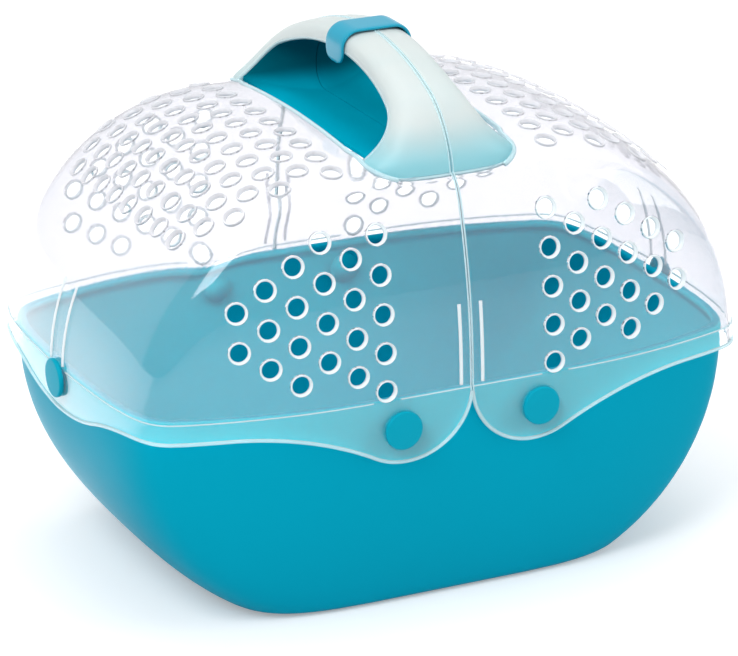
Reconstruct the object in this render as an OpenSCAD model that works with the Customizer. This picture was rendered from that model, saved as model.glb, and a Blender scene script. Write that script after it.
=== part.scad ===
// Small-animal carrier: a moulded tub with a clear dome in two halves.
// Each half swings outward and down about two pins near the middle of the long walls.
// The frosted carrying arch is split with the domes and lined with a coloured hand tunnel.
// Frame: millimetres, +X along the long side, +Y to the back, +Z up, origin under the middle of the base.

/* [Tub] */
// Height of the pivot pins above the base
pivot_h = 108.5; // [100:0.5:125]
// Distance of each pivot pin from the middle of the long side
pivot_x = 40; // [36:0.5:46]
// Radius of the round tub ends in the side view
tub_r = 132; // [126:0.5:134]
// Distance from the middle to the centre of the round tub ends
tub_centre_x = 45; // [42:0.5:47]
// Height of the tub's centre above the pins
tub_rise = 4; // [2:0.5:6]
// Half width of the tub at its widest
tub_half_w = 117.6; // [110:0.1:118]
// How strongly the tub narrows away from its centre
tub_taper = 0.225; // [0.2:0.005:0.26]
// Height of the tub's rim above the pins
rim_rise = 16; // [12:0.5:18]
// Thickness of the tub's wall
tub_wall = 2.5; // [2:0.1:3.5]
// Thickness of the tub's floor
floor_t = 3; // [2.5:0.1:5]
// How far the bead round the inside of the rim stands in
rim_bead = 1.5; // [0.8:0.1:2.5]
// Depth of that bead
rim_bead_h = 4; // [2:0.5:8]

/* [Dome] */
// Radius of the round dome ends in the side view
dome_r = 123.4; // [122:0.1:128]
// Distance from the middle to the centre of the round dome ends
dome_centre_x = 58; // [58:0.5:62]
// Height of the dome's centre above the pins
dome_rise = 14; // [14:0.5:18]
// Half width of the dome at its widest
dome_half_w = 121.9; // [121.5:0.1:128]
// How strongly the dome narrows away from its centre
dome_taper = 0.195; // [0.17:0.005:0.2]
// Thickness of the dome's wall
dome_wall = 2.2; // [1.8:0.1:2.6]
// Gap between the two dome halves at rest
seam_gap = 0.4; // [0.3:0.1:1]

/* [Skirt] */
// Height of the fold where the dome's skirt starts, above the pins
fold_rise = 16.8; // [15:0.2:20]
// How far the skirt stands out past the dome
skirt_step = 0.6; // [0.3:0.1:1]
// Height of the skirt's lower edge above the pins
skirt_edge_rise = 6.5; // [4:0.5:9]
// Radius of the lobe round each pin, which is also how far its centre is from the seam
lobe_r = 37; // [34:0.5:39]
// How far that lobe hangs below the pins
lobe_drop = 18.6; // [16:0.2:21]
// Radius of the concave run from each side lobe to the straight edge
lobe_fillet_r = 165; // [140:5:190]
// Radius of the lobe under each end button
end_lobe_r = 150; // [130:5:170]
// How far that lobe hangs below the pins
end_lobe_drop = 7.3; // [6:0.1:9]
// Radius of the concave run beside that lobe
end_fillet_r = 150; // [130:5:170]

/* [Air holes] */
// Diameter of the air holes
hole_d = 9.4; // [6:0.1:10]
// Distance from the middle to the first column of holes
hole_first_x = 48.7; // [46:0.1:52]
// Distance between columns of holes
hole_pitch_x = 15.6; // [14:0.1:17]
// Height of the lowest wall hole above the pins
hole_first_rise = 22.1; // [21:0.1:26]
// Half the height between wall holes in one column
hole_half_pitch_z = 10.15; // [9:0.05:11]

/* [Ribs] */
// Width of the upright ribs
rib_w = 2.6; // [1.5:0.1:4]
// How far the ribs stand out
rib_out = 1.1; // [0.6:0.1:1.6]
// Height of the ribs
rib_h = 43; // [30:1:50]
// Gap between the skirt's fold and the foot of each rib
rib_foot_gap = 2; // [1.8:0.1:4]
// Distance from the seam to the middle of each seam rib
seam_rib_x = 6.2; // [4:0.1:9]
// Distance from the middle of the end to each end rib
end_rib_y = 8; // [5:0.5:12]

/* [Handle] */
// Height of the top of the handle above the pins
handle_rise = 178; // [177:0.5:182]
// Radius of the handle's long top curve
handle_top_r = 166; // [160:1:175]
// Radius of the handle's front and back shoulders
handle_shoulder_r = 50; // [46:1:52]
// Half length of the handle's foot from front to back
handle_half_l = 98; // [95:0.5:99]
// Half width of the grip
grip_half_w = 18.5; // [18:0.1:22]
// Radius of the grip's top edges
grip_edge_r = 8; // [5:0.5:9]
// Radius of the flare from the grip to its foot
flare_r = 45; // [43:0.5:47]
// How far below the top the flare starts
flare_drop = 6; // [5:0.5:8]
// Half width of the handle's foot
foot_half_w = 43; // [42:0.5:44]
// Corner radius of the foot seen from above
foot_corner_r = 18; // [14:0.5:20]
// Thickness of the handle's frosted wall
handle_wall = 2; // [1.6:0.1:2.4]
// Width of the frame that joins the foot to the roof
foot_frame_w = 4; // [3:0.5:5]
// Depth of that frame under the roof
foot_frame_h = 6; // [5:0.5:7]

/* [Hand tunnel] */
// How far the top of the tunnel's mouth lies below the top of the handle
mouth_drop = 9.5; // [9:0.5:11]
// Radius of the mouth's long top curve
mouth_top_r = 162; // [156:1:168]
// Radius of the mouth's front and back corners
mouth_corner_r = 22; // [19:0.5:24]
// Half length of the mouth from front to back
mouth_half_l = 78.5; // [76:0.5:79]
// Height of the mouth's sill above the pins
sill_rise = 133.8; // [133:0.1:134.5]
// Height of the tunnel's floor at the seam above the pins
tunnel_floor_rise = 128; // [126:0.5:130]
// Half length of the tunnel at the seam
tunnel_half_l = 66; // [60:0.5:70]
// Thickness of the tunnel liner
liner_wall = 1.8; // [1.4:0.1:2.2]
// How far the liner sits back behind the edge of the mouth
liner_reveal = 0.6; // [0.3:0.1:1]
// Gap between the liner and the frosted wall
liner_fit = 0.15; // [0.1:0.05:0.2]
// Diameter of the liner's locating pegs
peg_d = 4.4; // [3:0.2:6]
// Distance of each peg from the seam
peg_x = [12, 9, 28];
// Level of each peg as a share of the mouth's height above its sill
peg_level = [0.52, 0.12, 0.06];

/* [Latch] */
// Width of the latch band from front to back
latch_w = 20; // [16:1:26]
// Thickness of the latch band
latch_t = 2; // [1.6:0.1:2.4]
// Gap between the latch and the grip
latch_fit = 0.4; // [0.3:0.05:0.6]
// How far the lower end of the latch lies below the top of the handle
latch_end_drop = 17; // [16:0.5:19]
// How far the latch's hook reaches under the grip
hook_reach = 2; // [1:0.1:2.4]
// How far the latch's hinge lies below the top of the handle
hinge_drop = 13.5; // [13:0.1:14]
// Radius of the knuckle round the latch's axle
knuckle_r = 2.8; // [2.4:0.1:3]
// Radius of the latch's axle
axle_r = 1.5; // [1.2:0.1:1.8]
// Thickness of each lug that holds the axle
lug_t = 2.6; // [2:0.1:4]

/* [Pins and buttons] */
// Diameter of the pin and button heads
head_d = 21; // [18:0.5:24]
// Thickness of the heads
head_t = 2.4; // [1.8:0.1:3.5]
// Chamfer round the face of the heads
head_chamfer = 0.7; // [0.3:0.1:1]
// Diameter of the pin and button shanks
shank_d = 9; // [7:0.5:10]
// Height of the button centres above the pins
button_rise = 10.1; // [8:0.1:12]
// Diameter of the tub's bosses round the pins
boss_d = 16; // [13:0.5:18]
// How far the bosses reach into the tub
boss_depth = 3; // [2.5:0.5:8]
// Depth of the catch dimple for each end button
dimple_depth = 0.8; // [0.5:0.1:1.2]
// Radial running clearance of each dome on its pins
running_fit = 0.06; // [0.03:0.01:0.1]
// Radial clearance of a pin or button in its own seat
seat_fit = 0.02; // [0.01:0.01:0.05]
// Gap between neighbouring parts that move past each other
part_gap = 0.3; // [0.3:0.05:0.5]

/* [Hidden] */

teal = [0.04, 0.62, 0.72];
clear = [0.85, 0.94, 0.97, 0.45];

$fn = 96;
far = 260;                 // longer than half of any side
profile_steps = 12;        // straight runs in each half profile
tub_corner = [28, 2.4];    // exponents of the tub's rounded corner
dome_corner = [26, 1.65];  // exponents of the dome's rounded corner
tub_z = pivot_h + tub_rise;
dome_z = pivot_h + dome_rise;
fold_z = pivot_h + fold_rise;
rim_z = pivot_h + rim_rise;
handle_z = pivot_h + handle_rise;
flare_z = handle_z - flare_drop;
sill_z = pivot_h + sill_rise;
mouth_z = handle_z - mouth_drop;
hinge_z = handle_z - hinge_drop;
latch_end_z = handle_z - latch_end_drop;
button_z = pivot_h + button_rise;

// Half width of a body at distance rho from its centre: a taper with a rounded corner at the end.
function half_width(rho, r, w, taper, corner) =
    w * (1 - taper * pow(rho / r, 2)) * pow(max(0, 1 - pow(rho / r, corner[0])), 1 / corner[1]);
// Distances from the centre, closer together towards the rounded corner.
function profile_rho(r) = [for (i = [0:profile_steps]) r * (1 - pow(1 - i / profile_steps, 1.8))];
function profile(r, w, taper, corner) =
    [for (rho = profile_rho(r)) [rho, half_width(rho, r, w, taper, corner)]];
function tub_half(rho) = half_width(rho, tub_r, tub_half_w, tub_taper, tub_corner);
function dome_half(rho, inset = 0) =
    half_width(rho, dome_r - inset, dome_half_w - inset, dome_taper, dome_corner);

// Faces that the pins and buttons seat on.
boss_face_y = dome_half(dome_rise + boss_d / 2, dome_wall) - part_gap;
skirt_face_y = dome_half(dome_rise - head_d / 2, -skirt_step);
pin_head_y = skirt_face_y + part_gap;
boss_inner_y = tub_half(tub_rise) - tub_wall - boss_depth;
dome_end_x = dome_centre_x + dome_r + skirt_step;
tub_end_x = tub_centre_x + sqrt(pow(tub_r, 2) - pow(button_rise - tub_rise, 2));
hinge_x = grip_half_w + latch_fit;

// ---------- shared shapes ----------

module extrude_x(x0, x1) translate([x0, 0, 0]) rotate([90, 0, 90]) linear_extrude(x1 - x0) children();
module extrude_y(half) translate([0, half, 0]) rotate([90, 0, 0]) linear_extrude(2 * half) children();

// Half of a body of the family above, for x >= 0: a straight middle run and a round end.
module half_form(r, w, taper, corner, centre_x, centre_z) {
    points = profile(r, w, taper, corner);
    back = [for (i = [profile_steps:-1:0]) [points[i][0], -points[i][1]]];
    lower = [for (i = [profile_steps:-1:0]) [points[i][1], -points[i][0]]];
    upper = [for (p = points) [p[1], p[0]]];
    translate([centre_x, 0, centre_z]) rotate([90, 0, 0]) rotate([0, 0, -90])
        rotate_extrude(angle = 180) polygon(concat(points, back));
    extrude_x(0, centre_x) translate([0, centre_z]) {
        polygon(concat(lower, upper));
        mirror([1, 0]) polygon(concat(lower, upper));
    }
}
module tub_form(inset)
    half_form(tub_r - inset, tub_half_w - inset, tub_taper, tub_corner, tub_centre_x, tub_z);
module dome_form(inset)
    half_form(dome_r - inset, dome_half_w - inset, dome_taper, dome_corner, dome_centre_x, dome_z);
module both_halves() {
    children();
    mirror([1, 0, 0]) children();
}
module band(z0, z1) translate([-far, -far, z0]) cube([2 * far, 2 * far, z1 - z0]);

// Everything above a straight edge, for x past the centre of the disc that the edge runs down to,
// with a tangent concave arc between the edge and the disc.
module run_to_lobe(centre, r, edge, fillet_r) {
    dz = centre[1] - (edge - fillet_r);
    dx = sqrt(pow(r + fillet_r, 2) - pow(dz, 2));
    fillet_centre = [centre[0] + dx, edge - fillet_r];
    translate([centre[0], edge]) square([far, far]);
    difference() {
        polygon([centre, fillet_centre, [fillet_centre[0], edge + 1], [centre[0], edge + 1]]);
        translate(fillet_centre) circle(fillet_r, $fn = 180);
    }
}

// ---------- dome ----------

module skirt_keep() {
    edge = pivot_h + skirt_edge_rise;
    lobe_centre = [lobe_r, pivot_h - lobe_drop + lobe_r];
    end_lobe_z = pivot_h - end_lobe_drop + end_lobe_r;
    extrude_y(far) {
        translate(lobe_centre) circle(lobe_r, $fn = 180);
        translate([-far, fold_z]) square([far + pivot_x + 1, far]);
        run_to_lobe(lobe_centre, lobe_r, edge, lobe_fillet_r);
    }
    extrude_x(dome_centre_x + dome_r / 2, far) {
        translate([0, end_lobe_z]) circle(end_lobe_r, $fn = 180);
        for (side = [0, 1]) mirror([side, 0]) run_to_lobe([0, end_lobe_z], end_lobe_r, edge, end_fillet_r);
    }
}

// Handle outline seen along X, grown inward by t.
module arch(t) {
    shoulder_y = handle_half_l - handle_shoulder_r;
    top_z = handle_z - handle_top_r;
    shoulder_z = top_z + sqrt(pow(handle_top_r - handle_shoulder_r, 2) - pow(shoulder_y, 2));
    intersection() {
        translate([0, top_z]) circle(handle_top_r - t, $fn = 240);
        union() {
            for (side = [-1, 1]) translate([side * shoulder_y, shoulder_z])
                circle(handle_shoulder_r - t, $fn = 180);
            translate([-shoulder_y, 0]) square([2 * shoulder_y, far * 2]);
            translate([-handle_half_l + t, 0]) square([2 * (handle_half_l - t), shoulder_z]);
        }
    }
}
// Handle outline seen along Y, grown inward by t.
module flared_grip(t) {
    edge_r = grip_edge_r - t;
    flare_x = grip_half_w + flare_r;
    inner_x = grip_half_w - grip_edge_r;
    for (side = [-1, 1]) translate([side * inner_x, handle_z - grip_edge_r]) circle(edge_r);
    translate([-inner_x, 0]) square([2 * inner_x, handle_z - t]);
    translate([-grip_half_w + t, 0]) square([2 * (grip_half_w - t), handle_z - grip_edge_r]);
    difference() {
        translate([-foot_half_w - 2, 0]) square([2 * foot_half_w + 4, flare_z]);
        for (side = [-1, 1]) translate([side * flare_x, flare_z]) circle(flare_r + t, $fn = 180);
    }
}
module foot_plan(t) {
    w = foot_half_w - t;
    l = handle_half_l - t;
    r = foot_corner_r - t;
    square([2 * w, 2 * (l - r)], center = true);
    square([2 * (w - r), 2 * l], center = true);
    for (x = [-1, 1], y = [-1, 1]) translate([x * (w - r), y * (l - r)]) circle(r);
}
module handle_form(t) {
    intersection() {
        extrude_x(-far, far) arch(t);
        extrude_y(far) flared_grip(t);
        linear_extrude(2 * far) foot_plan(t);
    }
}
// Mouth of the hand tunnel seen along X, grown outward by t.
module mouth(t) {
    corner_y = mouth_half_l - mouth_corner_r;
    top_z = mouth_z - mouth_top_r;
    corner_z = top_z + sqrt(pow(mouth_top_r - mouth_corner_r, 2) - pow(corner_y, 2));
    intersection() {
        translate([0, top_z]) circle(mouth_top_r + t, $fn = 240);
        union() {
            for (side = [-1, 1]) translate([side * corner_y, corner_z]) circle(mouth_corner_r + t);
            translate([-corner_y, 0]) square([2 * corner_y, far * 2]);
            translate([-mouth_half_l - t, 0]) square([2 * (mouth_half_l + t), corner_z]);
        }
    }
}

module wall_holes() {
    rows = [[0, 2, 4, 6, 8], [1, 3, 5, 7], [2, 4, 6, 8], [1, 3, 5, 7], [2, 4, 6], [3, 5]];
    for (column = [0:len(rows) - 1], row = rows[column])
        translate([hole_first_x + column * hole_pitch_x, far / 2,
                   pivot_h + hole_first_rise + row * hole_half_pitch_z])
            rotate([90, 0, 0]) cylinder(h = far, d = hole_d, $fn = 24);
}
module ribs() {
    rib_z = fold_z + rib_foot_gap + rib_h / 2;
    intersection() {
        dome_form(-rib_out);
        union() {
            translate([seam_rib_x, 0, rib_z]) cube([rib_w, 2 * far, rib_h], center = true);
            for (side = [-1, 1])
                translate([dome_centre_x + dome_r, side * end_rib_y, rib_z])
                    cube([dome_r, rib_w, rib_h], center = true);
        }
    }
}
// One half of the dome with its half of the frosted handle, for x >= 0.
module dome_half_shell() {
    difference() {
        union() {
            difference() {
                union() {
                    dome_form(0);
                    ribs();
                    intersection() {
                        dome_form(-skirt_step);
                        band(0, fold_z);
                    }
                }
                dome_form(dome_wall);
                wall_holes();
            }
            intersection() {
                difference() {
                    dome_form(0);
                    dome_form(foot_frame_h);
                }
                linear_extrude(2 * far) foot_plan(-foot_frame_w);
                band(dome_z, 2 * far);
            }
            difference() {
                handle_form(0);
                dome_form(foot_frame_h);
            }
        }
        handle_form(handle_wall);
        intersection() {
            extrude_x(-far, foot_half_w + foot_frame_w / 2) mouth(0);
            band(sill_z, 2 * far);
        }
        translate([-far + seam_gap / 2, -far, 0]) cube([far, 2 * far, 2 * far]);
        for (side = [-1, 1]) translate([pivot_x, side * far / 2, pivot_h]) rotate([90, 0, 0])
            cylinder(h = far, d = shank_d + 2 * running_fit, center = true);
        translate([dome_end_x, 0, button_z]) rotate([30, 90, 0])
            cylinder(h = 4 * dome_wall, d = shank_d + 2 * seat_fit, center = true);
    }
}
module dome_half_body() {
    intersection() {
        dome_half_shell();
        skirt_keep();
    }
}
module latch_lugs() {
    for (side = [-1, 1])
        translate([0, side * (latch_w / 2 + part_gap + lug_t / 2), 0]) rotate([90, 0, 0])
            linear_extrude(lug_t, center = true) difference() {
                union() {
                    translate([hinge_x, hinge_z]) circle(knuckle_r);
                    translate([grip_half_w - handle_wall, hinge_z])
                        square([handle_wall, mouth_z + lug_t - hinge_z]);
                }
                translate([hinge_x, hinge_z]) circle(axle_r + running_fit);
            }
}
module left_dome() color(clear) mirror([1, 0, 0]) dome_half_body();
module right_dome() color(clear) {
    dome_half_body();
    latch_lugs();
}

// ---------- tub ----------

module tub() color(teal) {
    difference() {
        union() {
            both_halves() difference() {
                tub_form(0);
                difference() {
                    tub_form(tub_wall);
                    band(0, floor_t);
                    difference() {
                        band(rim_z - rim_bead_h, rim_z + 1);
                        tub_form(tub_wall + rim_bead);
                    }
                }
            }
            intersection() {
                for (x = [-1, 1], y = [-1, 1]) translate([x * pivot_x, y * boss_inner_y, pivot_h])
                    rotate([-90 * y, 0, 0]) cylinder(h = boss_face_y - boss_inner_y, d = boss_d);
                band(0, rim_z);
            }
        }
        band(-far, 0);
        band(rim_z, 2 * far);
        for (x = [-1, 1]) translate([x * pivot_x, 0, pivot_h]) rotate([90, 0, 0])
            cylinder(h = 2 * far, d = shank_d + 2 * seat_fit, center = true);
        for (x = [-1, 1]) translate([x * tub_end_x, 0, button_z]) rotate([0, 90, 0])
            cylinder(h = 2 * dimple_depth, d = shank_d + 2, center = true);
    }
}

// ---------- hand tunnel liners ----------

module tunnel_plan(t) {
    mouth_x = foot_half_w;
    mouth_y = mouth_half_l + liner_reveal;
    polygon([
        [0, -tunnel_half_l - t],
        [mouth_x, -mouth_y - t],
        [mouth_x, mouth_y + t],
        [0, tunnel_half_l + t]
    ]);
}
module tunnel_floor_cut(t) {
    rise = (sill_rise - tunnel_floor_rise) / foot_half_w;
    polygon([[0, pivot_h + tunnel_floor_rise - t], [far, pivot_h + tunnel_floor_rise + rise * far - t],
             [far, 3 * far], [0, 3 * far]]);
}
module tunnel_form(t) {
    intersection() {
        extrude_x(0, far) mouth(liner_reveal + t);
        linear_extrude(3 * far) tunnel_plan(t);
        extrude_y(far) tunnel_floor_cut(t);
    }
}
module liner_pegs() {
    for (i = [0:len(peg_x) - 1], side = [-1, 1])
        translate([peg_x[i], side * tunnel_half_l, sill_z + peg_level[i] * (mouth_z - sill_z)])
            rotate([-90 * side, 0, 0])
            cylinder(h = handle_half_l - tunnel_half_l, d = peg_d, $fn = 24);
}
module handle_liner() {
    difference() {
        intersection() {
            union() {
                tunnel_form(liner_wall);
                liner_pegs();
            }
            handle_form(handle_wall + liner_fit);
            translate([seam_gap / 2, -far, 0]) cube([far, 2 * far, 2 * far]);
        }
        tunnel_form(0);
    }
}
module right_handle_liner() color(teal) handle_liner();
module left_handle_liner() color(teal) mirror([1, 0, 0]) handle_liner();

// ---------- latch ----------

// A band over the grip with straight legs, grown outward by t from the grip.
module latch_outline(t) {
    inner_x = grip_half_w - grip_edge_r;
    for (side = [-1, 1]) translate([side * inner_x, handle_z - grip_edge_r]) circle(grip_edge_r + t);
    translate([-inner_x, 0]) square([2 * inner_x, handle_z + t]);
    translate([-grip_half_w - t, 0]) square([2 * (grip_half_w + t), handle_z - grip_edge_r]);
}
module latch_hook() {
    under_grip_z = mouth_z - part_gap;
    leg_x = -grip_half_w - latch_fit - latch_t / 2;
    polygon([[leg_x, under_grip_z], [-grip_half_w + hook_reach, under_grip_z],
             [-grip_half_w + hook_reach, under_grip_z - 1], [-grip_half_w - latch_fit, latch_end_z + 2],
             [leg_x, latch_end_z + 2]]);
}
// The tongue's outline seen along X, with rounded lower corners.
module latch_tongue() {
    corner = latch_w / 3;
    for (side = [-1, 1]) translate([side * (latch_w / 2 - corner), latch_end_z + corner]) circle(corner);
    translate([-latch_w / 2, latch_end_z + corner]) square([latch_w, far]);
    translate([-latch_w / 2 + corner, latch_end_z]) square([latch_w - 2 * corner, far]);
}
module handle_latch() color(teal) {
    intersection() {
        extrude_y(latch_w / 2) {
            difference() {
                latch_outline(latch_fit + latch_t);
                latch_outline(latch_fit);
                translate([0, -far]) square([far, far + hinge_z]);
            }
            latch_hook();
        }
        extrude_x(-far, far) latch_tongue();
    }
    translate([hinge_x, 0, hinge_z]) rotate([90, 0, 0])
        cylinder(h = latch_w, r = knuckle_r, center = true);
    translate([hinge_x, 0, hinge_z]) rotate([90, 0, 0])
        cylinder(h = latch_w + 2 * part_gap + 2 * lug_t, r = axle_r, center = true);
}

// ---------- pins and buttons ----------

// A disc with a chamfered face, lying on z = 0, with a shank down to z = -shank.
module headed_pin(shank) {
    cylinder(h = head_t - head_chamfer, d = head_d);
    translate([0, 0, head_t - head_chamfer])
        cylinder(h = head_chamfer, d1 = head_d, d2 = head_d - 2 * head_chamfer);
    translate([0, 0, -shank]) cylinder(h = shank, d = shank_d);
}
module pivot_pin(x, y) color(teal)
    translate([x * pivot_x, y * pin_head_y, pivot_h]) rotate([-90 * y, 0, 0])
        headed_pin(pin_head_y - boss_inner_y);
module front_left_pivot_pin() pivot_pin(-1, -1);
module front_right_pivot_pin() pivot_pin(1, -1);
module back_left_pivot_pin() pivot_pin(-1, 1);
module back_right_pivot_pin() pivot_pin(1, 1);
module end_button() color(teal)
    translate([dome_end_x, 0, button_z]) rotate([0, 90, 0]) headed_pin(dome_end_x - tub_end_x - part_gap);
module right_end_button() end_button();
module left_end_button() mirror([1, 0, 0]) end_button();

tub();
left_dome();
right_dome();
left_handle_liner();
right_handle_liner();
handle_latch();
front_left_pivot_pin();
front_right_pivot_pin();
back_left_pivot_pin();
back_right_pivot_pin();
left_end_button();
right_end_button();
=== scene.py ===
"""Looks of a small-animal carrier: a teal tub, a clear dome in two halves and a frosted carrying arch.

Lengths are in millimetres in the part's frame (+X long side, +Y back, +Z up, origin under the middle of the
base) until a mesh is made, when they become metres.
"""
import math

import bmesh
import bpy
import numpy as np
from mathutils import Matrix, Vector, geometry


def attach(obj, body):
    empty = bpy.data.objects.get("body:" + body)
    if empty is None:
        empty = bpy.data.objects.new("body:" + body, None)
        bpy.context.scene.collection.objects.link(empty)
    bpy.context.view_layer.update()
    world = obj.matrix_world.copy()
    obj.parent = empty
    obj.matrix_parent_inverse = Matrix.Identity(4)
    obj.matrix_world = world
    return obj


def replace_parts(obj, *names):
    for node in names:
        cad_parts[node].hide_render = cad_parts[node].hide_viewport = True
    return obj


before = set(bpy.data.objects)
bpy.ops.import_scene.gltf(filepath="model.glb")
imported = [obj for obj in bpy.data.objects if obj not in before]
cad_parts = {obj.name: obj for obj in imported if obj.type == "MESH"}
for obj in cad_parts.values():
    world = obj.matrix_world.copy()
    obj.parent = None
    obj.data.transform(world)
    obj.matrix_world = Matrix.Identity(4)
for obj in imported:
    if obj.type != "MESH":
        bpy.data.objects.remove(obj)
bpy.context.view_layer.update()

# ---------- sizes, as in the part's source ----------
PIVOT_X, PIVOT_Z = 40.0, 108.5
TUB = dict(cx=45.0, cz=112.5, r=132.0, w=117.6, taper=0.225, power=28.0, root=2.4)
DOME = dict(cx=58.0, cz=122.5, r=123.4, w=121.9, taper=0.195, power=26.0, root=1.65)
RIM_Z, FOLD_Z, SKIRT_Z = 124.5, 125.3, 115.0
TUB_WALL, FLOOR, RIM_BEAD, RIM_BEAD_H = 2.5, 3.0, 1.5, 4.0
DOME_WALL, SKIRT_STEP, SEAM_X = 2.2, 0.6, 0.2
HOLE_R, COLLAR_R = 4.7, 6.0
RING_STEPS = 24  # points round a hole and round its collar
HEX_PITCH = 0.866  # rows of a hexagonal net lie this share of its spacing apart
HEAD_R, HEAD_T, SHANK_R = 10.5, 2.4, 4.5
BUTTON_X, BUTTON_Z = 182.0, 118.6
DOME_MIDDLE = (DOME["cx"], 0.0, DOME["cz"])
FOLD_HALF = 1.2  # the step of the skirt at the fold reaches this far up and down
SPLIT_RHO = 102.0  # walls inside this distance from the body's centre, roof outside it
MM = 0.001
MERGE = 0.00002  # points of a mesh closer than this, in metres, become one


# ---------- mesh making ----------
def make_piece(name, points, faces, material, body):
    """A mesh object from points in millimetres and faces as a list or an index array; it rides on body."""
    mesh = bpy.data.meshes.new(name)
    faces = faces if isinstance(faces, list) else faces.tolist()
    mesh.from_pydata((np.asarray(points) * MM).tolist(), [], faces)
    mesh.update()
    mesh.shade_smooth()
    mesh.materials.append(material)
    piece = bpy.data.objects.new(name, mesh)
    bpy.context.scene.collection.objects.link(piece)
    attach(piece, body)
    return piece


def grid_faces(rows, columns, wrap_rows=False, wrap_columns=False, first=0):
    """Quads between neighbouring rows and columns of a grid whose points are numbered row by row."""
    r = np.arange(rows if wrap_rows else rows - 1)
    c = np.arange(columns if wrap_columns else columns - 1)
    r, c = np.meshgrid(r, c, indexing="ij")
    r2, c2 = (r + 1) % rows, (c + 1) % columns
    corners = [r * columns + c, r * columns + c2, r2 * columns + c2, r2 * columns + c]
    return first + np.stack(corners, -1).reshape(-1, 4)


def close_and_face_out(piece, drop_slivers=True):
    """Merges doubled points, fills no holes, and turns every face of a closed piece outwards."""
    bm = bmesh.new()
    bm.from_mesh(piece.data)
    bmesh.ops.remove_doubles(bm, verts=bm.verts, dist=MERGE)
    if drop_slivers:
        bmesh.ops.dissolve_degenerate(bm, dist=MERGE / 4, edges=bm.edges)
    bmesh.ops.recalc_face_normals(bm, faces=bm.faces)
    bm.to_mesh(piece.data)
    bm.free()
    return piece


def face_away_from(piece, centre):
    """Turns an open shell so that its faces look away from centre, in millimetres."""
    mesh = piece.data
    count = len(mesh.polygons)
    normals, centres, areas = np.zeros(count * 3), np.zeros(count * 3), np.zeros(count)
    mesh.polygons.foreach_get("normal", normals)
    mesh.polygons.foreach_get("center", centres)
    mesh.polygons.foreach_get("area", areas)
    out = ((centres.reshape(-1, 3) - np.asarray(centre) * MM) * normals.reshape(-1, 3)).sum(1) @ areas
    if out < 0:
        mesh.flip_normals()
    return piece


def thicken(piece, thickness):
    """Gives an open shell its wall, grown inwards, in millimetres, with rims that shade as sharp edges."""
    wall = piece.modifiers.new("wall", "SOLIDIFY")
    wall.thickness = thickness * MM
    wall.offset = -1
    wall.use_quality_normals = True
    crisp = piece.modifiers.new("crisp_rim", "EDGE_SPLIT")
    crisp.split_angle = math.radians(42)
    return piece


def mirrored(points, side):
    """The same points on the left (-1) or right (1) half."""
    return np.asarray(points) * np.array([side, 1.0, 1.0])


def unit(v):
    return v / np.maximum(np.linalg.norm(v, axis=-1, keepdims=True), 1e-9)


def loop_faces(rows, columns):
    """Quads round a tube of rows of columns points, with one face over each end."""
    faces = grid_faces(rows, columns, False, True).tolist()
    return faces + [list(range(columns)), list(range((rows - 1) * columns, rows * columns))]


def tube_along(path, radius, around=8, flat=1.0, up=(0, 0, 1)):
    """A round bar along an open path: at each point a circle stands across the path's direction. Its ends are
    closed by triangles round the path's own end points."""
    path = np.asarray(path, float)
    ahead, behind = np.vstack([path[1:], path[-1:]]), np.vstack([path[:1], path[:-1]])
    along = unit(ahead - behind)
    side = unit(np.cross(along, np.asarray(up, float)) + 1e-6)
    over = np.cross(side, along)
    turn = np.linspace(0, 2 * np.pi, around, endpoint=False)[None, :, None]
    ring = radius * (np.cos(turn) * side[:, None] + flat * np.sin(turn) * over[:, None])
    points = (path[:, None] + ring).reshape(-1, 3)
    faces = grid_faces(len(path), around, wrap_columns=True).tolist()
    n, last = len(points), (len(path) - 1) * around
    for k in range(around):
        faces.append([n, (k + 1) % around, k])
    for k in range(around):
        faces.append([n + 1, last + k, last + (k + 1) % around])
    return np.vstack([points, path[0], path[-1]]), faces


def lathe_at(centres, normals, profile, segments):
    """Copies of a turned form: profile is (radius, height) pairs, carried round each normal at each
    centre."""
    centres, normals = np.atleast_2d(centres), unit(np.atleast_2d(normals))
    helper = np.where(np.abs(normals[:, 2:]) < 0.9, [[0, 0, 1.0]], [[1.0, 0, 0]])
    side = unit(np.cross(helper, normals))
    over = np.cross(normals, side)
    turn = np.linspace(0, 2 * np.pi, segments, endpoint=False)
    profile = np.asarray(profile, float)
    spokes = np.cos(turn)[None, :, None] * side[:, None] + np.sin(turn)[None, :, None] * over[:, None]
    return (centres[:, None, None] + profile[None, :, None, :1] * spokes[:, None]
            + profile[None, :, None, 1:] * normals[:, None, None])


def ring_pieces(centres, normals, profile, segments):
    """Closed rings: the profile is a loop, so each copy is a torus-like collar."""
    points = lathe_at(centres, normals, profile, segments)
    copies, rows, columns = points.shape[:3]
    faces = np.vstack([grid_faces(rows, columns, True, True, k * rows * columns) for k in range(copies)])
    return points.reshape(-1, 3), faces


def button_points(centre, normal, profile, segments=64):
    """A turned solid: the profile starts and ends on the axis, where its points merge."""
    points = lathe_at([centre], [normal], profile, segments)[0]
    return points.reshape(-1, 3), grid_faces(points.shape[0], segments, False, True)


# ---------- the two moulded bodies ----------
def half_width(rho, body, grow=0.0):
    """Half width at distance rho from the body's centre: a quadratic taper times a rounded corner at r."""
    s = np.clip(rho / (body["r"] + grow), 0, 1)
    return (body["w"] + grow) * (1 - body["taper"] * s ** 2) * (1 - s ** body["power"]) ** (1 / body["root"])


def rho_of(x, z, body):
    return np.hypot(np.maximum(np.abs(x) - body["cx"], 0), z - body["cz"])


def skirt_growth(z):
    """How far the dome stands out at height z: the skirt steps out below the fold."""
    k = np.clip((FOLD_Z + FOLD_HALF - z) / (2 * FOLD_HALF), 0, 1)
    return SKIRT_STEP * k * k * (3 - 2 * k)


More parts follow.
